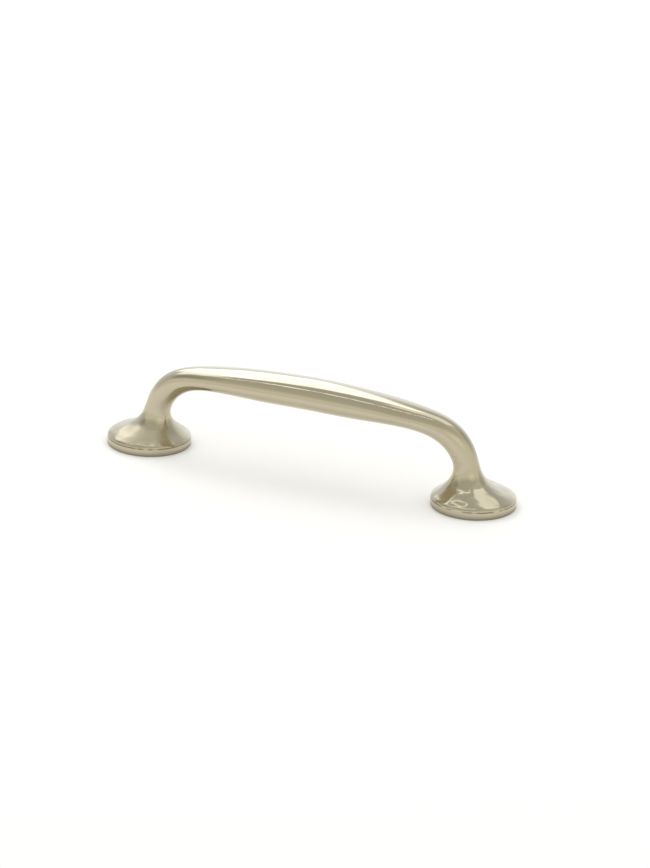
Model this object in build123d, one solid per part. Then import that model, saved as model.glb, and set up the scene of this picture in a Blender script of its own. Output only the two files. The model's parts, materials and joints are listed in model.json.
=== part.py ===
"""A bow handle for a cabinet: one casting with two round feet, leaning legs and a swelling grip.

Millimetres, +Z up. The origin is on the mounting plane, midway between the two screw holes.
X runs along the handle and Y across it. The handle is symmetrical about both planes.
"""
from build123d import *
import math
import os

# Driving dimensions, overall
hole_spacing = 96.0
projection = 27.0

# Foot: a low upright rim under a dome that flows into the leg
foot_diameter = 23.0
rim_height = 2.5

# Dome: two circles between the rim and the neck, the upper one drifting towards the bow
lower_dome_diameter = 19.0
lower_dome_height = 4.0
upper_dome_diameter = 13.4
upper_dome_height = 5.7
upper_dome_inward = 1.1

# Neck, where the dome has become the leg
neck_thickness = 8.6
neck_width = 7.8
neck_height = 8.3
neck_inward = 1.9

# Leg, halfway between the neck and the bend
leg_thickness = 7.0
leg_width = 6.7
leg_inward = 3.4
leg_turn = 19.0

# Bend, measured down from the middle of the grip
bend_thickness = 7.2
bend_width = 7.8
bend_inward = 7.6
bend_drop = 4.3
bend_turn = 46.0

# Grip: an arched flat oval that swells towards its middle
grip_end_thickness = 6.4
grip_end_width = 10.5
grip_end_inward = 17.0
grip_end_lean = 3.5
grip_arch = 1.2
grip_thickness = 8.3
grip_width = 13.5

# Tapped hole for the fixing screw, drawn at the cored size before tapping
screw_hole_diameter = 3.3
screw_hole_depth = 6.5

# Worked out from the driving dimensions
half_spacing = hole_spacing / 2
grip_axis_height = projection - grip_thickness / 2
bend_height = grip_axis_height - bend_drop
leg_height = (neck_height + bend_height) / 2
grip_end_reach = half_spacing - grip_end_inward


def section(x, z, thickness, width, turn):
    """An oval across the bow: its thickness lies in the XZ plane, turned from level by an angle."""
    outward = (math.cos(math.radians(turn)), 0, math.sin(math.radians(turn)))
    along = (-math.sin(math.radians(turn)), 0, math.cos(math.radians(turn)))
    oval = scale(Circle(1), by=(thickness / 2, width / 2, 1))
    return Plane(origin=(x, 0, z), x_dir=outward, z_dir=along) * oval


def grip_section(x):
    """The grip at a place along it: the arch and the swelling both follow a parabola.

    The middle oval stands upright, and the ovals lean outwards towards the ends.
    """
    share = (x / grip_end_reach) ** 2
    height = grip_axis_height - grip_arch * share
    thickness = grip_thickness - (grip_thickness - grip_end_thickness) * share
    width = grip_width - (grip_width - grip_end_width) * share
    turn = 90 - grip_end_lean * x / grip_end_reach
    return section(x, height, thickness, width, turn)


def half_sections():
    """The ovals of the right half, from the top of its rim up to the end of the grip."""
    upper_x = half_spacing - upper_dome_inward
    return [
        section(half_spacing, rim_height, foot_diameter, foot_diameter, 0),
        section(half_spacing, lower_dome_height, lower_dome_diameter, lower_dome_diameter, 0),
        section(upper_x, upper_dome_height, upper_dome_diameter, upper_dome_diameter, 0),
        section(half_spacing - neck_inward, neck_height, neck_thickness, neck_width, 0),
        section(half_spacing - leg_inward, leg_height, leg_thickness, leg_width, leg_turn),
        section(half_spacing - bend_inward, bend_height, bend_thickness, bend_width, bend_turn),
        grip_section(grip_end_reach),
        grip_section(grip_end_reach / 2),
    ]


def bow():
    """One smooth skin through the ovals, from one rim over the grip to the other."""
    right = half_sections()
    middle = grip_section(0)
    left = [oval.mirror(Plane.YZ) for oval in reversed(right)]
    return loft(right + [middle] + left)


def upright(radius, height):
    """A cylinder that stands on the mounting plane."""
    return Cylinder(radius, height, align=(Align.CENTER, Align.CENTER, Align.MIN))


def rim():
    """The upright edge of a foot."""
    return upright(foot_diameter / 2, rim_height)


def screw_hole():
    """A blind cored hole with a flat end."""
    return upright(screw_hole_diameter / 2, screw_hole_depth)


def bow_handle():
    """The whole casting, with a hole from below in each foot."""
    body = bow()
    for side in (-1, 1):
        body += Pos(side * half_spacing, 0, 0) * rim()
    for side in (-1, 1):
        body -= Pos(side * half_spacing, 0, 0) * screw_hole()
    return body


handle = bow_handle()
os.makedirs("parts", exist_ok=True)
export_step(handle, "parts/bow_handle.step")
box = handle.bounding_box()
print("bow_handle", "solids", len(handle.solids()), "volume mm3", round(handle.volume, 1))
print("size mm", [round(value, 2) for value in box.size])
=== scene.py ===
# %% [markdown]
# This lesson dresses a bow handle for a cabinet: one metal casting, polished and plated with nickel.
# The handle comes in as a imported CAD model, which fixes its size and its place. Everything here is
# in metres in that model's own frame, so nothing has to be fitted by eye.

# %% Load the handle's frame
import json
import math

import bmesh
import bpy
import numpy as np
from mathutils import Matrix, Vector


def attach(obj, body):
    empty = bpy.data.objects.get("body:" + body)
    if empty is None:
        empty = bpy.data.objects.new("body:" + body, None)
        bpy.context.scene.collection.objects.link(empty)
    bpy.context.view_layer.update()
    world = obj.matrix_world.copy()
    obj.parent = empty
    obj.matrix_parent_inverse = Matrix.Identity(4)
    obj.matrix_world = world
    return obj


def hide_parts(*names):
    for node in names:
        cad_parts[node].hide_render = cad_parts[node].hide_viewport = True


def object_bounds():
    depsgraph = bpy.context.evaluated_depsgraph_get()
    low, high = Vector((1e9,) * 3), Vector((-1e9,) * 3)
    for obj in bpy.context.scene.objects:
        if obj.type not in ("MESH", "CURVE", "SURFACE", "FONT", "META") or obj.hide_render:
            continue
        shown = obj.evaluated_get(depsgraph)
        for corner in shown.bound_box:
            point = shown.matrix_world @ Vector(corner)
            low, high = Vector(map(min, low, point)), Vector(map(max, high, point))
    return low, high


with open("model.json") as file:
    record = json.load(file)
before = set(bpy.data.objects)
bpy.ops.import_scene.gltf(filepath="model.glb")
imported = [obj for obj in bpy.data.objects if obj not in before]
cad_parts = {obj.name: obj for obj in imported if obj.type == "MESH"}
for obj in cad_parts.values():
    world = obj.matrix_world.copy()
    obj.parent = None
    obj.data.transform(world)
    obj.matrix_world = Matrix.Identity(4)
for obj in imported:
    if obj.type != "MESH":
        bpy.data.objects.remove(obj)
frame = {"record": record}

MM = 0.001
cad_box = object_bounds()
cad_size = cad_box[1] - cad_box[0]
print("CAD box in mm", [round(value / MM, 2) for value in cad_size])

# %% [markdown]
# A polished casting is a mirror, and a mirror shows every facet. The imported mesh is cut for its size,
# not for its reflections, so the skin is drawn again here from the same rule as the CAD: smooth
# curves through a few ovals. Four driving sizes are read from the frame and the others are the
# casting's own dimensions, in millimetres.

# %% The casting's dimensions
screw_holes = next(mount for mount in frame["record"]["mounts"] if mount["name"] == "screw_holes")
half_spacing = screw_holes["dims"]["spacing_x_mm"] / 2
hole_radius = screw_holes["dims"]["hole_r_mm"]
foot_radius = cad_size.y / MM / 2
projection = cad_size.z / MM

rim_height = 2.5
lower_dome_diameter, lower_dome_height = 19.0, 4.0
upper_dome_diameter, upper_dome_height, upper_dome_inward = 13.4, 5.7, 1.1
neck_thickness, neck_width, neck_height, neck_inward = 8.6, 7.8, 8.3, 1.9
leg_thickness, leg_width, leg_inward, leg_turn = 7.0, 6.7, 3.4, 19.0
bend_thickness, bend_width, bend_inward, bend_drop, bend_turn = 7.2, 7.8, 7.6, 4.3, 46.0
grip_end_thickness, grip_end_width, grip_end_inward, grip_end_lean = 6.4, 10.5, 17.0, 3.5
grip_thickness, grip_width, grip_arch = 8.3, 13.5, 1.2
hole_depth = 6.5

grip_axis_height = projection - grip_thickness / 2
grip_end_reach = half_spacing - grip_end_inward
bend_height = grip_axis_height - bend_drop
leg_height = (neck_height + bend_height) / 2
print("screw holes apart", 2 * half_spacing, "foot across", round(2 * foot_radius, 2))
print("projection", round(projection, 2))

# %% [markdown]
# Each oval across the bow is kept as five numbers: the point on the outer outline, the point on the
# inner outline and half its width. The outlines are seen from the side, so they have x and z only.
# The right half is written down and the left half is its mirror image.

# %% The ovals along the bow


def oval(x, z, thickness, width, turn):
    """Outer point, inner point and half width of an oval turned from level by an angle."""
    reach_x = math.cos(math.radians(turn)) * thickness / 2
    reach_z = math.sin(math.radians(turn)) * thickness / 2
    return [x + reach_x, z + reach_z, x - reach_x, z - reach_z, width / 2]


def grip_oval(x):
    """The grip's arch and swelling both follow a parabola."""
    share = (x / grip_end_reach) ** 2
    height = grip_axis_height - grip_arch * share
    thickness = grip_thickness - (grip_thickness - grip_end_thickness) * share
    width = grip_width - (grip_width - grip_end_width) * share
    return oval(x, height, thickness, width, 90 - grip_end_lean * x / grip_end_reach)


def mirrored(rows):
    """The same ovals on the other half of the bow, in the order that carries on along it."""
    return np.array(rows)[::-1] * [-1, 1, -1, 1, 1]


dome_x = half_spacing - upper_dome_inward
right_half = [
    oval(half_spacing, rim_height, 2 * foot_radius, 2 * foot_radius, 0),
    oval(half_spacing, lower_dome_height, lower_dome_diameter, lower_dome_diameter, 0),
    oval(dome_x, upper_dome_height, upper_dome_diameter, upper_dome_diameter, 0),
    oval(half_spacing - neck_inward, neck_height, neck_thickness, neck_width, 0),
    oval(half_spacing - leg_inward, leg_height, leg_thickness, leg_width, leg_turn),
    oval(half_spacing - bend_inward, bend_height, bend_thickness, bend_width, bend_turn),
    grip_oval(grip_end_reach),
    grip_oval(grip_end_reach / 2),
]
ovals = np.vstack([right_half, [grip_oval(0)], mirrored(right_half)])
print("ovals along the bow", len(ovals))

# %% [markdown]
# A cubic curve through the ovals has no kink in its slope or in its curvature, which is what a
# lofted casting pattern has, so reflections run along it without a break. The curve is worked out
# with numpy: one small set of linear equations gives the curvature at each oval.

# %% Smooth curves through the ovals


def smooth_through(knots, values, places):
    """Cubic curve through the values, its third derivative running on past the next-to-end knots."""
    gap = np.diff(knots)
    slope = np.diff(values, axis=0) / gap[:, None]
    count = len(knots)
    equations = np.zeros((count, count))
    turning = np.zeros_like(values)
    for i in range(1, count - 1):
        equations[i, i - 1:i + 2] = gap[i - 1], 2 * (gap[i - 1] + gap[i]), gap[i]
        turning[i] = 6 * (slope[i] - slope[i - 1])
    equations[0, :3] = gap[1], -gap[0] - gap[1], gap[0]
    equations[-1, -3:] = gap[-1], -gap[-2] - gap[-1], gap[-2]
    bend = np.linalg.solve(equations, turning)
    span = np.clip(np.searchsorted(knots, places) - 1, 0, count - 2)
    g = gap[span][:, None]
    after = (places - knots[span])[:, None] / g
    before = 1 - after
    straight = before * values[span] + after * values[span + 1]
    bow = (before ** 3 - before) * bend[span] + (after ** 3 - after) * bend[span + 1]
    return straight + bow * g ** 2 / 6


def oval_steps(rows):
    """Mean distance from each oval to the next, over its outer, inner and side points."""
    middle = (rows[:, 0:2] + rows[:, 2:4]) / 2
    side = np.column_stack([middle, rows[:, 4]])
    tracks = (rows[:, 0:2], rows[:, 2:4], side, side)
    return sum(np.linalg.norm(np.diff(track, axis=0), axis=1) for track in tracks) / len(tracks)


def lengths(rows):
    """How far along the rows each oval is."""
    return np.concatenate([[0], np.cumsum(oval_steps(rows))])


SKIN_STATIONS = 401
rim_edge = 0.4
knots = lengths(ovals)
skin_places = np.linspace(rim_edge, knots[-1] - rim_edge, SKIN_STATIONS)
skin_rows = smooth_through(knots, ovals, skin_places)
print("skin length in mm", round(knots[-1], 1), "stations", SKIN_STATIONS)

# %% [markdown]
# Below the dome each foot is plain work: an upright rim, a flat underside and a tapped hole. These
# are more ovals, round ones this time, so one sweep can make the whole casting without a seam. A real
# corner is never quite sharp, and a corner with no radius catches no light, so a small curve runs
# round each one. It starts on the line before the corner and ends on the line after it.

# %% The foot below the dome
CORNER_STEPS = 6
end_edge, mouth_edge, base_edge = 0.1, 0.2, 0.3
end_step, bore_step, underside_step, rim_step = 0.4, 0.08, 0.7, 0.1


def ring(radius, z):
    """A round oval about the screw hole's axis."""
    return np.array(oval(half_spacing, z, 2 * radius, 2 * radius, 0))


def straight_run(start, end, step):
    """Ovals about a step apart on the straight way from one to another, without the last."""
    count = math.ceil(np.abs(end - start).max() / step)
    return [start + (end - start) * i / count for i in range(count)]


def corner_curve(before, corner, after, reach):
    """Ovals on a curve round a corner, from a reach before it to a reach after it."""
    first = corner + (before - corner) * reach / np.abs(before - corner).max()
    last = corner + (after - corner) * reach / np.abs(after - corner).max()
    shares = np.linspace(0, 1, CORNER_STEPS)[:, None]
    return (1 - shares) ** 2 * first + 2 * shares * (1 - shares) * corner + shares ** 2 * last


rim_top = ring(foot_radius, rim_height)
stops = [
    ring(0, hole_depth),
    ring(hole_radius, hole_depth),
    ring(hole_radius, 0),
    ring(foot_radius, 0),
    rim_top,
    skin_rows[0],
]
edges = (end_edge, mouth_edge, base_edge, np.abs(skin_rows[0] - rim_top).max())
steps = (end_step, bore_step, underside_step, rim_step)
foot_rows = []
start = stops[0]
for before, corner, after, reach, step in zip(stops, stops[1:], stops[2:], edges, steps):
    curve = corner_curve(before, corner, after, reach)
    foot_rows += straight_run(start, curve[0], step) + list(curve[:-1])
    start = curve[-1]
foot_rows = np.array(foot_rows)
print("ovals in a foot", len(foot_rows))

# %% [markdown]
# The screw hole is tapped for an M4 screw. A thread winds, so its depth on the rail says only how
# far the groove may go into the wall, and the sweep lets it rise and fall once in each turn. The
# hole, the underside and the foot of the rim are plated as they came from the machine, and the foot
# of the rim is also painted darker there as painted shade where it meets the floor, so the rail
# also says how far an oval is turned and shaded. Just under the rim's edge runs a fine crease, and
# dashes of painted shade are drawn in it. A casting is pressed on a soft mop by hand, and the mop
# reaches the domes only edge on: a ripple of up to two tenths of a millimetre is left there. The legs
# and domes also stay duller than the grip, the left dome most. The rail keeps that as satin: 0 is
# bright and 1 is quite dull.

# %% What the rail carries besides the shape
thread_pitch = 0.7
thread_depth = 0.3
thread_fade = 0.6
# Below this height the rim is turned nickel, and its darker colour there is also painted shade where
# the foot meets the floor.
polished_unshaded_from = 1.4
# A crease under the rim's edge, with dark dashes of painted shade in it.
crease_height = 2.15
crease_reach = 0.24
crease_depth = 0.05
dome_ripple = 0.2
left_satin, right_satin = 0.9, 0.16
leg_satin, bend_satin = 0.9, 0.35
bow_ripple = 0.01


def eased(heights, stops, values):
    """The values between the stops, level at each stop: a mirror shows every sudden change."""
    numbers = np.arange(len(stops))
    whole, share = np.divmod(np.interp(heights, stops, numbers), 1)
    share = share ** 3 * (10 - 15 * share + 6 * share ** 2)
    return np.interp(whole + share, numbers, values)


height = foot_rows[:, 1]
in_bore = np.isclose(foot_rows[:, 4], hole_radius)
depth_left = np.minimum(height - mouth_edge, hole_depth - end_edge - height)
foot_thread = in_bore * np.clip(depth_left / thread_fade, 0, 1) * thread_depth / hole_radius
foot_turns = height / thread_pitch
on_rim = foot_rows[:, 4] > foot_radius - base_edge
# The turned part of the rim gets a darker colour in the material: painted shade at the foot, besides
# its turned finish.
foot_turned_and_shaded = np.where(on_rim, np.interp(height, (base_edge, polished_unshaded_from), (1, 0)), 1.0)
foot_crease = on_rim * np.clip(1 - np.abs(height - crease_height) / crease_reach, 0, 1)
foot_rows -= crease_depth * foot_crease[:, None] * [1, 0, -1, 0, 1]

skin_height = (skin_rows[:, 1] + skin_rows[:, 3]) / 2
dome_heights = (rim_height, lower_dome_height, upper_dome_height, neck_height)
on_dome = eased(skin_height, dome_heights, (0, 1, 1, 0))
on_bow = eased(skin_height, (upper_dome_height, neck_height), (0, 1))
skin_ripple = on_dome * dome_ripple + on_bow * bow_ripple
leg_heights = (upper_dome_height, leg_height, bend_height, grip_axis_height - grip_arch)
on_leg = eased(skin_height, leg_heights, (0, leg_satin, bend_satin, 0))
dome_satin = np.where(skin_rows[:, 0] < 0, left_satin, right_satin)
skin_satin = on_leg + on_dome * dome_satin

smooth_foot = np.zeros(len(foot_rows))
smooth_skin = np.zeros(SKIN_STATIONS)
rail_rows = np.vstack([foot_rows, skin_rows, mirrored(foot_rows)])
thread = np.concatenate([foot_thread, smooth_skin, foot_thread[::-1]])
turns = np.concatenate([foot_turns, smooth_skin, -foot_turns[::-1]])
turned_and_shaded = np.concatenate([foot_turned_and_shaded, smooth_skin, foot_turned_and_shaded[::-1]])
crease = np.concatenate([foot_crease, smooth_skin, foot_crease[::-1]])
satin = np.concatenate([smooth_foot, skin_satin, smooth_foot])
ripple = np.concatenate([smooth_foot, skin_ripple, smooth_foot])
print("ovals on the rail", len(rail_rows), "threads in a hole", round(foot_turns[in_bore].max(), 1))

# %% [markdown]
# The rail is a bare line of points, one in the middle of each oval. It carries the vector from the
# centre to the outer outline, the half width and the values above, and Geometry Nodes sweeps the skin
# over it. With the rule in the tree and the sizes on the rail, either can change without the other.

# %% Helpers for node trees, and the rail


def add_node(tree, kind, links=None, **settings):
    """Adds one node, sets its properties, links or sets its inputs, and gives back its outputs."""
    node = tree.nodes.new(kind)
    for name, value in settings.items():
        setattr(node, name, value)
    for name, source in (links or {}).items():
        if isinstance(source, bpy.types.NodeSocket):
            tree.links.new(source, node.inputs[name])
        else:
            node.inputs[name].default_value = source
    return node.outputs


def line_mesh(name, points, attributes):
    """A line of points with float or vector attributes on them."""
    mesh = bpy.data.meshes.new(name)
    ways = [(i, i + 1) for i in range(len(points) - 1)]
    mesh.from_pydata([tuple(point) for point in points], ways, [])
    for label, values in attributes.items():
        values = np.asarray(values, dtype=np.float32)
        kind = "FLOAT_VECTOR" if values.ndim == 2 else "FLOAT"
        field = "vector" if values.ndim == 2 else "value"
        mesh.attributes.new(label, kind, "POINT").data.foreach_set(field, values.ravel())
    made = bpy.data.objects.new(name, mesh)
    bpy.context.scene.collection.objects.link(made)
    return made


def upright_plane(xz):
    """Points in the XZ plane from pairs of millimetres, in metres."""
    return np.column_stack([xz[:, 0], np.zeros(len(xz)), xz[:, 1]]) * MM


rail = line_mesh("bow_rail", upright_plane((rail_rows[:, 0:2] + rail_rows[:, 2:4]) / 2), {
    "reach": upright_plane((rail_rows[:, 0:2] - rail_rows[:, 2:4]) / 2),
    "half_width": rail_rows[:, 4] * MM,
    "along": lengths(rail_rows) * MM,
    "thread": thread,
    "turns": turns,
    "turned_and_shaded": turned_and_shaded,
    "crease": crease,
    "satin": satin,
    "ripple": ripple * MM,
})
print("rail points", len(rail.data.vertices))

# %% [markdown]
# The tree lays out a flat grid with one row for each oval and one column for each step round it, then
# moves every grid point to its place on the oval. The row and the column come from the point's index.
# The first and the last column meet, and so do all the points at a hole's end, so Merge by Distance
# closes the skin. Only then does the ripple push the points in along their normals, because before the
# merge a normal at the seam knows one side only. A second place is stored with each point: where it
# would lie if the bow were pulled straight. Patterns that follow the bow read that one.

# %% The tree that sweeps the skin


def new_tree(name, inputs):
    """An empty geometry tree with a Geometry input and output and further named inputs."""
    tree = bpy.data.node_groups.new(name, "GeometryNodeTree")
    tree.interface.new_socket("Geometry", in_out="OUTPUT", socket_type="NodeSocketGeometry")
    tree.interface.new_socket("Geometry", in_out="INPUT", socket_type="NodeSocketGeometry")
    for label, kind in inputs.items():
        tree.interface.new_socket(label, in_out="INPUT", socket_type=kind)
    return tree, add_node(tree, "NodeGroupInput")


def wrapped_grid(tree, line, around):
    """A grid with a row for each point of a line, and each grid point's row and share of a turn."""
    size = add_node(tree, "GeometryNodeAttributeDomainSize", {"Geometry": line}, component="MESH")
    rows = size["Point Count"]
    columns = add_node(tree, "ShaderNodeMath", {0: around, 1: 1.0}, operation="ADD")[0]
    grid = add_node(tree, "GeometryNodeMeshGrid", {"Vertices X": rows, "Vertices Y": columns})["Mesh"]
    index = add_node(tree, "GeometryNodeInputIndex")[0]
    column = add_node(tree, "ShaderNodeMath", {0: index, 1: columns}, operation="MODULO")[0]
    first = add_node(tree, "ShaderNodeMath", {0: index, 1: column}, operation="SUBTRACT")[0]
    row = add_node(tree, "ShaderNodeMath", {0: first, 1: columns}, operation="DIVIDE")[0]
    row = add_node(tree, "ShaderNodeMath", {0: row}, operation="ROUND")[0]
    share = add_node(tree, "ShaderNodeMath", {0: column, 1: around}, operation="DIVIDE")[0]
    return grid, row, share


def on_line(tree, line, row, label, kind="FLOAT"):
    """A named attribute of the line's point in that row."""
    named = {"Name": label}
    value = add_node(tree, "GeometryNodeInputNamedAttribute", named, data_type=kind)["Attribute"]
    links = {"Geometry": line, "Value": value, "Index": row}
    return add_node(tree, "GeometryNodeSampleIndex", links, data_type=kind)["Value"]


def oval_share(tree, line, row, share):
    """How far out and how far aside a point of the oval lies, with the thread's groove in it."""
    angle = add_node(tree, "ShaderNodeMath", {0: share, 1: math.tau}, operation="MULTIPLY")[0]
    turns = on_line(tree, line, row, "turns")
    phase = add_node(tree, "ShaderNodeMath", {0: turns, 1: share}, operation="SUBTRACT")[0]
    phase = add_node(tree, "ShaderNodeMath", {0: phase, 1: math.tau}, operation="MULTIPLY")[0]
    wave = add_node(tree, "ShaderNodeMath", {0: phase}, operation="COSINE")[0]
    groove = add_node(tree, "ShaderNodeMath", {0: wave, 1: 0.5, 2: 0.5}, operation="MULTIPLY_ADD")[0]
    depth = on_line(tree, line, row, "thread")
    swell = {0: groove, 1: depth, 2: 1.0}
    swell = add_node(tree, "ShaderNodeMath", swell, operation="MULTIPLY_ADD")[0]
    cosine = add_node(tree, "ShaderNodeMath", {0: angle}, operation="COSINE")[0]
    sine = add_node(tree, "ShaderNodeMath", {0: angle}, operation="SINE")[0]
    out = add_node(tree, "ShaderNodeMath", {0: cosine, 1: swell}, operation="MULTIPLY")[0]
    aside = add_node(tree, "ShaderNodeMath", {0: sine, 1: swell}, operation="MULTIPLY")[0]
    return out, aside


# Noise keeps mostly between these two values. The detail is how many finer noises are added.
NOISE_LOW, NOISE_HIGH = 0.3, 0.7
RIPPLE_DETAIL = 1.5


def rippled(tree, made, length, seed):
    """The skin pushed in along its normals by a slow noise, as deep as the attribute ripple says."""
    place = add_node(tree, "GeometryNodeInputPosition")[0]
    size = add_node(tree, "ShaderNodeMath", {0: 1.0, 1: length}, operation="DIVIDE")[0]
    slow = {"Vector": place, "W": seed, "Scale": size, "Detail": RIPPLE_DETAIL}
    noise = add_node(tree, "ShaderNodeTexNoise", slow, noise_dimensions="4D")[0]
    hollow = {"Value": noise, "From Min": NOISE_LOW, "From Max": NOISE_HIGH}
    hollow = add_node(tree, "ShaderNodeMapRange", hollow, interpolation_type="SMOOTHSTEP")[0]
    named = {"Name": "ripple"}
    depth = add_node(tree, "GeometryNodeInputNamedAttribute", named, data_type="FLOAT")["Attribute"]
    inward = add_node(tree, "ShaderNodeMath", {0: hollow, 1: depth}, operation="MULTIPLY")[0]
    inward = add_node(tree, "ShaderNodeMath", {0: inward, 1: -1.0}, operation="MULTIPLY")[0]
    normal = add_node(tree, "GeometryNodeInputNormal")[0]
    push = add_node(tree, "ShaderNodeVectorMath", {0: normal, "Scale": inward}, operation="SCALE")[0]
    return add_node(tree, "GeometryNodeSetPosition", {"Geometry": made, "Offset": push})[0]


def skin_tree():
    """Sweeps ovals along a rail, cuts the threads, closes the skin and ripples it."""
    kinds = {"Around": "NodeSocketInt", "Weld": "NodeSocketFloat", "Finish": "NodeSocketMaterial"}
    kinds.update({"Ripple length": "NodeSocketFloat", "Seed": "NodeSocketFloat"})
    tree, given = new_tree("cast_skin", kinds)
    line = given["Geometry"]
    grid, row, share = wrapped_grid(tree, line, given["Around"])
    out, aside = oval_share(tree, line, row, share)
    half_width = on_line(tree, line, row, "half_width")
    aside = add_node(tree, "ShaderNodeMath", {0: aside, 1: half_width}, operation="MULTIPLY")[0]
    sideways = add_node(tree, "ShaderNodeCombineXYZ", {"Y": aside})[0]
    reach = on_line(tree, line, row, "reach", "FLOAT_VECTOR")
    outward = add_node(tree, "ShaderNodeVectorMath", {0: reach, "Scale": out}, operation="SCALE")[0]
    offset = add_node(tree, "ShaderNodeVectorMath", {0: outward, 1: sideways}, operation="ADD")[0]
    centre = on_line(tree, line, row, "position", "FLOAT_VECTOR")
    place = add_node(tree, "ShaderNodeVectorMath", {0: centre, 1: offset}, operation="ADD")[0]
    made = add_node(tree, "GeometryNodeSetPosition", {"Geometry": grid, "Position": place})[0]

    half_thick = add_node(tree, "ShaderNodeVectorMath", {0: reach}, operation="LENGTH")["Value"]
    above = add_node(tree, "ShaderNodeMath", {0: out, 1: half_thick}, operation="MULTIPLY")[0]
    along = on_line(tree, line, row, "along")
    straight = add_node(tree, "ShaderNodeCombineXYZ", {"X": along, "Y": aside, "Z": above})[0]
    kept = {
        "pulled_straight": (straight, "FLOAT_VECTOR"),
        "turned_and_shaded": (on_line(tree, line, row, "turned_and_shaded"), "FLOAT"),
        "crease": (on_line(tree, line, row, "crease"), "FLOAT"),
        "satin": (on_line(tree, line, row, "satin"), "FLOAT"),
        "ripple": (on_line(tree, line, row, "ripple"), "FLOAT"),
    }
    for label, (value, kind) in kept.items():
        store = {"Geometry": made, "Name": label, "Value": value}
        made = add_node(tree, "GeometryNodeStoreNamedAttribute", store, data_type=kind)[0]
    weld = {"Geometry": made, "Distance": given["Weld"]}
    made = add_node(tree, "GeometryNodeMergeByDistance", weld)[0]
    made = add_node(tree, "GeometryNodeFlipFaces", {"Mesh": made})[0]
    made = rippled(tree, made, given["Ripple length"], given["Seed"])
    made = add_node(tree, "GeometryNodeSetShadeSmooth", {"Geometry": made})[0]
    made = add_node(tree, "GeometryNodeRealizeInstances", {"Geometry": made})[0]
    finish = {"Geometry": made, "Material": given["Finish"]}
    made = add_node(tree, "GeometryNodeSetMaterial", finish)[0]
    add_node(tree, "NodeGroupOutput", {"Geometry": made})
    return tree


def grown(carrier, tree, name, values):
    """The mesh that a tree grows on a carrier object; the carrier and its modifier are removed."""
    modifier = carrier.modifiers.new("grow", "NODES")
    modifier.node_group = tree
    for item in tree.interface.items_tree:
        if item.in_out == "INPUT" and item.name in values:
            modifier[item.identifier] = values[item.name]
    bpy.context.view_layer.update()
    evaluated = carrier.evaluated_get(bpy.context.evaluated_depsgraph_get())
    mesh = bpy.data.meshes.new_from_object(evaluated)
    mesh.name = name
    carrier.modifiers.remove(modifier)
    bpy.data.objects.remove(carrier)
    return mesh


skin_rule = skin_tree()
print("nodes in the skin's tree", len(skin_rule.nodes))

# %% [markdown]
# The metal is a zinc casting under bright nickel, polished on cloth mops. Nickel is a warm grey that
# yellows a little with age, unevenly, so its colour drifts over some centimetres. A mop leaves lines
# that run along the bow: too fine to see one by one, they fray the edge of a highlight and dull it a
# little. Real mop lines are about 0.02 mm apart; they are drawn coarser here, or no render could show
# them. Under the feet and low on the rim the plating lies on metal that was only turned, and there the
# lines run in rings. Low on the rim its darker colour is also painted shade where the foot meets the
# floor, and dark dashes of painted shade lie in the crease under the rim's edge.

# %% Polished nickel
fresh_nickel = "#C2BAA5"
aged_nickel = "#BAB198"
cloud_size = 14.0
mop_line_length = 18.0
mop_line_width = 0.3
mop_line_depth = 0.005
mopped_roughness = (0.05, 0.11)
satin_roughness = 0.3
# Darker turned nickel: its own colour under the feet, and low on the rim also painted shade where the
# foot meets the floor.
turned_nickel_and_foot_shade = "#958D7B"
turned_line_width = 0.25
turned_line_depth = 0.01
turned_roughness = 0.38
# Painted shade: the dark dashes in the crease under the rim's edge.
crease_shade_colour = "#3E3728"
crease_shade_dash = 4.0
crease_shade_roughness = 0.5


def linear(hex_colour):
    """Linear colour with alpha from an sRGB hex value."""
    channels = [int(hex_colour[i:i + 2], 16) / 255 for i in (1, 3, 5)]
    curve = [c / 12.92 if c <= 0.04045 else ((c + 0.055) / 1.055) ** 2.4 for c in channels]
    return (*curve, 1.0)


def new_material(name):
    """A material with its node tree and its shader's inputs."""
    material = bpy.data.materials.new(name)
    material.use_nodes = True
    return material, material.node_tree, material.node_tree.nodes["Principled BSDF"].inputs


def nickel_lines(tree, straight, length, width):
    """Noise pulled out along the bow, in a grain of the given length and width in millimetres."""
    grain = (1 / (length * MM), 1 / (width * MM), 1 / (width * MM))
    stretched = add_node(tree, "ShaderNodeMapping", {"Vector": straight, "Scale": grain})[0]
    return add_node(tree, "ShaderNodeTexNoise", {"Vector": stretched, "Scale": 1.0})[0]


# The noise at which the painted shade begins, and at which the crease is full of it.
CREASE_SHADE_FROM, CREASE_SHADE_UNTIL = 0.38, 0.48


def painted_crease_shade(tree, place):
    """How much painted shade covers a point: dashes of it in the crease, none elsewhere."""
    crease = add_node(tree, "ShaderNodeAttribute", attribute_name="crease")["Fac"]
    dashes = {"Vector": place, "Scale": 1 / (crease_shade_dash * MM)}
    dashes = add_node(tree, "ShaderNodeTexNoise", dashes)[0]
    dashes = {"Value": dashes, "From Min": CREASE_SHADE_FROM, "From Max": CREASE_SHADE_UNTIL}
    dashes = add_node(tree, "ShaderNodeMapRange", dashes)[0]
    return add_node(tree, "ShaderNodeMath", {0: crease, 1: dashes}, operation="MULTIPLY")[0]


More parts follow.
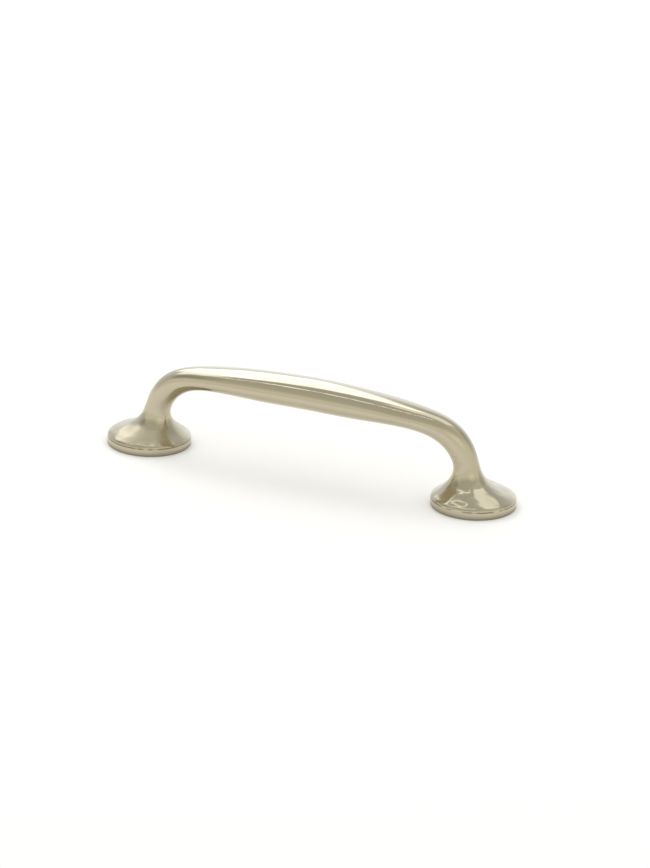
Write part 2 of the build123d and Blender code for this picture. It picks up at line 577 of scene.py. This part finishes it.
def polished_nickel():
    """Bright nickel on a mopped casting, duller and ringed where it was only turned, with painted shade
    low on the rim and in the crease.
    """
    material, tree, shader = new_material("polished_nickel")
    shader["Metallic"].default_value = 1.0
    straight = add_node(tree, "ShaderNodeAttribute", attribute_name="pulled_straight")["Vector"]
    turned_and_shaded = add_node(tree, "ShaderNodeAttribute", attribute_name="turned_and_shaded")["Fac"]
    place = add_node(tree, "ShaderNodeTexCoord")["Object"]
    clouds = {"Vector": place, "Scale": 1 / (cloud_size * MM)}
    clouds = add_node(tree, "ShaderNodeTexNoise", clouds)[0]
    mop_lines = nickel_lines(tree, straight, mop_line_length, mop_line_width)
    rings = nickel_lines(tree, straight, turned_line_width, mop_line_length)

    # Mix has its share at 0, its numbers at 2 and 3, and its colours at 6 and 7 with their result at 2.
    aged = {0: clouds, 6: linear(fresh_nickel), 7: linear(aged_nickel)}
    aged = add_node(tree, "ShaderNodeMix", aged, data_type="RGBA")[2]
    # Painted shade: darker low on the rim, where the foot meets the floor.
    colour = {0: turned_and_shaded, 6: aged, 7: linear(turned_nickel_and_foot_shade)}
    colour = add_node(tree, "ShaderNodeMix", colour, data_type="RGBA")[2]
    # Painted shade: dark dashes in the crease under the rim's edge.
    crease_shade = painted_crease_shade(tree, place)
    colour = {0: crease_shade, 6: colour, 7: linear(crease_shade_colour)}
    colour = add_node(tree, "ShaderNodeMix", colour, data_type="RGBA")[2]
    tree.links.new(colour, shader["Base Color"])

    dull = {"Value": mop_lines, "From Min": NOISE_LOW, "From Max": NOISE_HIGH}
    dull.update({"To Min": mopped_roughness[0], "To Max": mopped_roughness[1]})
    dull = add_node(tree, "ShaderNodeMapRange", dull)[0]
    satin = add_node(tree, "ShaderNodeAttribute", attribute_name="satin")["Fac"]
    duller = ((satin, satin_roughness), (turned_and_shaded, turned_roughness), (crease_shade, crease_shade_roughness))
    for share, roughness in duller:
        dull = {0: share, 2: dull, 3: roughness}
        dull = add_node(tree, "ShaderNodeMix", dull, data_type="FLOAT")[0]
    tree.links.new(dull, shader["Roughness"])

    depth = {0: turned_and_shaded, 2: mop_line_depth * MM, 3: turned_line_depth * MM}
    depth = add_node(tree, "ShaderNodeMix", depth, data_type="FLOAT")[0]
    grain = {0: turned_and_shaded, 2: mop_lines, 3: rings}
    grain = add_node(tree, "ShaderNodeMix", grain, data_type="FLOAT")[0]
    height = add_node(tree, "ShaderNodeMath", {0: grain, 1: depth}, operation="MULTIPLY")[0]
    bump = add_node(tree, "ShaderNodeBump", {"Height": height, "Strength": 1.0, "Distance": 1.0})[0]
    tree.links.new(bump, shader["Normal"])
    return material


AROUND = 128
WELD = 0.0005
ripple_length = 6.5
ripple_seed = 13.0
nickel = polished_nickel()
values = {"Around": AROUND, "Weld": WELD * MM, "Finish": nickel}
values.update({"Ripple length": ripple_length * MM, "Seed": ripple_seed})
skin = grown(rail, skin_rule, "bow_handle_skin", values)
print("skin faces", len(skin.polygons))

# %% [markdown]
# Before the skin takes the CAD node's place it is measured: a closed skin has no open edge, and its
# volume is positive only if its faces point outwards.

# %% The skin takes the casting's place


def measured(mesh):
    """Open edges and volume in cubic millimetres of a mesh."""
    shape = bmesh.new()
    shape.from_mesh(mesh)
    open_edges = sum(1 for edge in shape.edges if not edge.is_manifold)
    volume = shape.calc_volume(signed=True) / MM ** 3
    shape.free()
    return open_edges, volume


open_edges, volume = measured(skin)
print("open edges", open_edges, "volume in cubic mm", round(volume, 1))
handle = bpy.data.objects.new("bow_handle_skin", skin)
bpy.context.scene.collection.objects.link(handle)
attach(handle, "root")
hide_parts("bow_handle")

# %% [markdown]
# The floor is a wide sheet of white paper. It keeps the handle's shadow, because its white is a matt
# surface under the lamps, and Light Path adds the rest of its brightness only for the camera and for
# mirrors. The metal then shows the same white as the picture does. A hair's gap under the feet keeps
# the paper and the metal from lying in one plane.

# %% Floor
floor_reach = 6.0
floor_paper = "#F4F3F0"
floor_lift = 0.12
floor_gap = 0.02
paper_roughness = 0.9


def shown_directly(tree):
    """1 for rays from the camera, off a mirror or through glass, 0 for the rays that light things."""
    path = add_node(tree, "ShaderNodeLightPath")
    clear = {0: path["Is Glossy Ray"], 1: path["Is Transmission Ray"]}
    clear = add_node(tree, "ShaderNodeMath", clear, operation="MAXIMUM")[0]
    shown = {0: path["Is Camera Ray"], 1: clear}
    return add_node(tree, "ShaderNodeMath", shown, operation="MAXIMUM")[0]


def white_paper():
    """Matt white paper, lifted for the camera and for mirrors."""
    material, tree, shader = new_material("white_paper")
    shader["Base Color"].default_value = linear(floor_paper)
    shader["Roughness"].default_value = paper_roughness
    shader["Specular IOR Level"].default_value = 0.0
    shader["Emission Color"].default_value = linear(floor_paper)
    lift = {0: shown_directly(tree), 1: floor_lift}
    lift = add_node(tree, "ShaderNodeMath", lift, operation="MULTIPLY")[0]
    tree.links.new(lift, shader["Emission Strength"])
    return material


sides = ((-1, -1), (1, -1), (1, 1), (-1, 1))
corners = [(x * floor_reach, y * floor_reach, -floor_gap * MM) for x, y in sides]
floor_mesh = bpy.data.meshes.new("floor")
floor_mesh.from_pydata(corners, [], [(0, 1, 2, 3)])
floor_mesh.materials.append(white_paper())
floor = bpy.data.objects.new("floor", floor_mesh)
bpy.context.scene.collection.objects.link(floor)
print("floor", 2 * floor_reach, "m wide")

# %% [markdown]
# The light is a plain studio: even light from all round, a big soft lamp behind the handle on the
# left and a few lesser ones. A mirror shows its surroundings, so what stands round it matters as much
# as the metal. The room is bright low down and darker overhead, white paper hangs behind, and soft
# patches stand for the dark and bright things in it. Its white is a little warm in front and cool
# behind. A place in the room is an azimuth and an elevation in degrees, and a reach is in degrees too.

# %% The room
even_light = 0.88
room_low, room_high = 0.97, 0.67
low_until, high_from = 0.35, 0.82
backdrop_place, backdrop_reach, backdrop_level = (-168, 0), 42, 1.4
# Each patch has a place, a reach and what the room's brightness is multiplied by there.
patches = {
    "left, beside the lamps": ((-75, 38), 18, 0.65),
    "left": ((-88, 20), 27, 0.82),
    "right, behind": ((128, 26), 25, 0.68),
    "right, high": ((108, 60), 25, 1.2),
    "right, in front": ((45, 33), 26, 1.2),
}
plain_white, front_white, behind_white = "#FFFFFF", "#FFFEF3", "#F3F8FF"
behind_place, behind_reach = (-155, 0), 110


def direction_to(azimuth, elevation):
    """Unit vector towards an azimuth, 0 in front and 90 on the right, and an elevation."""
    a, e = math.radians(azimuth), math.radians(elevation)
    return Vector((math.sin(a) * math.cos(e), -math.cos(a) * math.cos(e), math.sin(e)))


def nearness(tree, direction, place, reach):
    """1 towards a place in the room, falling smoothly to 0 at a reach in degrees from it."""
    near = {0: direction, 1: direction_to(*place)}
    near = add_node(tree, "ShaderNodeVectorMath", near, operation="DOT_PRODUCT")["Value"]
    near = {"Value": near, "From Min": math.cos(math.radians(reach))}
    return add_node(tree, "ShaderNodeMapRange", near, interpolation_type="SMOOTHSTEP")[0]


def room_level(tree, direction):
    """How bright the room is in a direction."""
    upward = add_node(tree, "ShaderNodeSeparateXYZ", {0: direction})["Z"]
    level = {"Value": upward, "From Min": low_until, "From Max": high_from}
    level.update({"To Min": room_low, "To Max": room_high})
    level = add_node(tree, "ShaderNodeMapRange", level, interpolation_type="SMOOTHSTEP")[0]
    near = nearness(tree, direction, backdrop_place, backdrop_reach)
    level = {0: near, 2: level, 3: backdrop_level}
    level = add_node(tree, "ShaderNodeMix", level, data_type="FLOAT")[0]
    for place, reach, factor in patches.values():
        near = nearness(tree, direction, place, reach)
        patch = add_node(tree, "ShaderNodeMix", {0: near, 2: 1.0, 3: factor}, data_type="FLOAT")[0]
        level = add_node(tree, "ShaderNodeMath", {0: level, 1: patch}, operation="MULTIPLY")[0]
    return level


def studio_world():
    """Even white light for the surfaces, and for mirrors the room."""
    world = bpy.data.worlds.new("studio")
    world.use_nodes = True
    tree = world.node_tree
    background = tree.nodes["Background"].inputs
    path = add_node(tree, "ShaderNodeLightPath")
    mirror = path["Is Glossy Ray"]
    direction = add_node(tree, "ShaderNodeTexCoord")["Generated"]
    plain = {0: path["Is Camera Ray"], 2: even_light, 3: 1.0}
    plain = add_node(tree, "ShaderNodeMix", plain, data_type="FLOAT")[0]
    seen = {0: mirror, 2: plain, 3: room_level(tree, direction)}
    seen = add_node(tree, "ShaderNodeMix", seen, data_type="FLOAT")[0]
    tree.links.new(seen, background["Strength"])
    near = nearness(tree, direction, behind_place, behind_reach)
    white = {0: near, 6: linear(front_white), 7: linear(behind_white)}
    white = add_node(tree, "ShaderNodeMix", white, data_type="RGBA")[2]
    white = {0: mirror, 6: linear(plain_white), 7: white}
    white = add_node(tree, "ShaderNodeMix", white, data_type="RGBA")[2]
    tree.links.new(white, background["Color"])
    return world


bpy.context.scene.world = studio_world()
print("patches in the room", len(patches))

# %% [markdown]
# The lamps stand a metre away and face the handle. Each has a soft edge, as cloth over a frame has.
# The strip overhead runs along the handle and draws a thin line on the grip.

# %% Lamps
# What an area lamp needs for a brightness of 1, in watts for each square metre.
WATTS_PER_AREA = 4
# A lamp's own coordinates run from 0 to 1, so its middle is here.
LAMP_MIDDLE = 0.5


def softbox(name, azimuth, elevation, width, height, radiance, soft_edge):
    """An area lamp that faces the handle; its radiance is its brightness in a mirror."""
    lamp = bpy.data.lights.new(name, "AREA")
    lamp.shape = "RECTANGLE"
    lamp.size = width
    lamp.size_y = height
    lamp.energy = radiance * width * height * WATTS_PER_AREA
    lamp.use_nodes = True
    tree = lamp.node_tree
    across = add_node(tree, "ShaderNodeNewGeometry")["Parametric"]
    across = add_node(tree, "ShaderNodeSeparateXYZ", {0: across})
    aside = {0: across["X"], 1: LAMP_MIDDLE}
    aside = add_node(tree, "ShaderNodeMath", aside, operation="PINGPONG")[0]
    above = {0: across["Y"], 1: LAMP_MIDDLE}
    above = add_node(tree, "ShaderNodeMath", above, operation="PINGPONG")[0]
    inside = add_node(tree, "ShaderNodeMath", {0: aside, 1: above}, operation="MINIMUM")[0]
    fade = {"Value": inside, "From Max": soft_edge}
    fade = add_node(tree, "ShaderNodeMapRange", fade, interpolation_type="SMOOTHSTEP")[0]
    tree.links.new(fade, tree.nodes["Emission"].inputs["Strength"])
    holder = bpy.data.objects.new(name, lamp)
    holder.location = direction_to(azimuth, elevation)
    holder.rotation_mode = "QUATERNION"
    holder.rotation_quaternion = (-holder.location).to_track_quat("-Z", "Y")
    bpy.context.scene.collection.objects.link(holder)


softbox("main_lamp", azimuth=-143, elevation=43, width=0.60, height=0.78, radiance=1.45, soft_edge=0.15)
softbox("side_lamp", azimuth=-112, elevation=46, width=0.42, height=0.52, radiance=0.9, soft_edge=0.30)
softbox("back_lamp", azimuth=163, elevation=66, width=0.66, height=0.44, radiance=0.55, soft_edge=0.12)
softbox("strip_lamp", azimuth=-90, elevation=77, width=0.03, height=0.80, radiance=1.5, soft_edge=0.10)

# %% [markdown]
# The camera stands where the photograph was taken from: a little to the right and looking down on
# the handle, from far enough that the two feet are almost the same size. The lens follows from how
# many pixels a millimetre takes at the handle.

# %% Camera
FRAME_WIDTH_PX, FRAME_HEIGHT_PX = 650, 868
SENSOR_MM = 36.0
elevation, azimuth, roll = 20.875, 22.876, 2.175
distance = 1.1128
pixels_per_mm = 3.7087
middle_height = 15.0
middle_px = (310.50, 421.07)

back = direction_to(azimuth, elevation)
level = Vector((math.cos(math.radians(azimuth)), math.sin(math.radians(azimuth)), 0))
tilt = Matrix.Rotation(math.radians(roll), 3, back)
right = tilt @ level
up = tilt @ back.cross(level)
aside = (FRAME_WIDTH_PX / 2 - middle_px[0]) / pixels_per_mm * MM
above = (FRAME_HEIGHT_PX / 2 - middle_px[1]) / pixels_per_mm * MM
aim = Vector((0, 0, middle_height * MM)) + right * aside - up * above

lens = bpy.data.cameras.new("camera")
lens.sensor_width = SENSOR_MM
lens.lens = pixels_per_mm * distance / MM * SENSOR_MM / FRAME_HEIGHT_PX
camera = bpy.data.objects.new("camera", lens)
facing = Matrix((right, up, back)).transposed().to_4x4()
camera.matrix_world = Matrix.Translation(aim + back * distance) @ facing
bpy.context.scene.collection.objects.link(camera)
bpy.context.scene.camera = camera
bpy.context.scene.view_settings.view_transform = "Standard"
print("lens in mm", round(lens.lens, 1))
